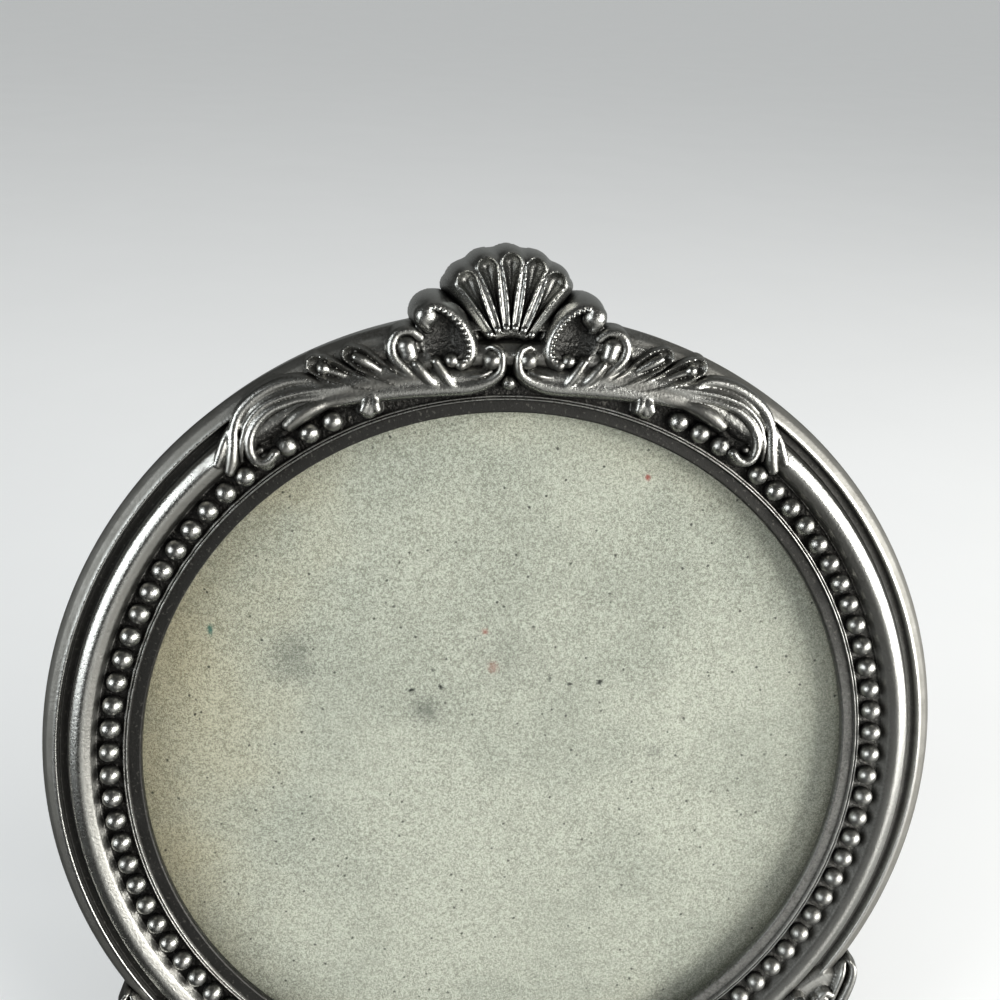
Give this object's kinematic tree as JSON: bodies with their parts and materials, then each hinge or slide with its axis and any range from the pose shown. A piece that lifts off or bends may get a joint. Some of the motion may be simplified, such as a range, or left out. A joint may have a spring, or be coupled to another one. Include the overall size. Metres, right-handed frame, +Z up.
{
  "type": "round picture frame",
  "caption": "Round standing picture frame: beaded cast ring with a shell crest and scroll feet, glazed, closed by an easel back with a folding leg and swivelling turn buttons.",
  "frame": {"origin": "on the table, under the middle of the frame and its open leg", "axes": "+X to the right seen from the front, +Y from front to back, +Z up"},
  "size_m": [0.1124, 0.047, 0.1203],
  "materials": {
    "white_metal": "antiqued pewter-tone casting, burnished high spots and dark patina in the recesses",
    "glass": "clear polished sheet",
    "grey_card": "recycled grey chipboard with fibre flecks",
    "brown_board": "dense brown fibreboard",
    "black_flock": "black flocked paper",
    "steel": "nickel-plated pressed steel",
    "brass": "brassed stamped sheet"
  },
  "bodies": {
    "frame": {"frame_casting": "white_metal", "glass_pane": "glass", "filler_card": "grey_card", "back_board": "brown_board", "back_facing": "black_flock", "turn_button_screw_1": "steel", "turn_button_screw_2": "steel", "turn_button_screw_3": "steel", "turn_button_screw_4": "steel", "hinge_upper_leaf": "steel", "hinge_pin": "steel", "hinge_upper_rivet_1": "steel", "hinge_upper_rivet_2": "steel"},
    "easel_leg": {"hinge_lower_leaf": "steel", "leg_board": "brown_board", "leg_facing": "black_flock", "hinge_lower_rivet_1": "steel", "hinge_lower_rivet_2": "steel"},
    "turn_button_1": {"turn_button_1": "brass"},
    "turn_button_2": {"turn_button_2": "brass"},
    "turn_button_3": {"turn_button_3": "brass"},
    "turn_button_4": {"turn_button_4": "brass"}
  },
  "joints": [
    {"name": "leg_fold", "type": "hinge", "parent": "frame", "child": "easel_leg", "pos_m": [0, 0.00643, 0.07119], "axis": [-1, 0, 0], "range_deg": [0, 27]},
    {"name": "turn_button_1_swivel", "type": "hinge", "parent": "frame", "child": "turn_button_1", "pos_m": [0.03645, 0.00235, 0.09346], "axis": [0, 0.9659, -0.2588], "continuous": true},
    {"name": "turn_button_2_swivel", "type": "hinge", "parent": "frame", "child": "turn_button_2", "pos_m": [0.03645, -0.01651, 0.02304], "axis": [0, 0.9659, -0.2588], "continuous": true},
    {"name": "turn_button_3_swivel", "type": "hinge", "parent": "frame", "child": "turn_button_3", "pos_m": [-0.03645, -0.01651, 0.02304], "axis": [0, 0.9659, -0.2588], "continuous": true},
    {"name": "turn_button_4_swivel", "type": "hinge", "parent": "frame", "child": "turn_button_4", "pos_m": [-0.03645, 0.00235, 0.09346], "axis": [0, 0.9659, -0.2588], "continuous": true}
  ]
}
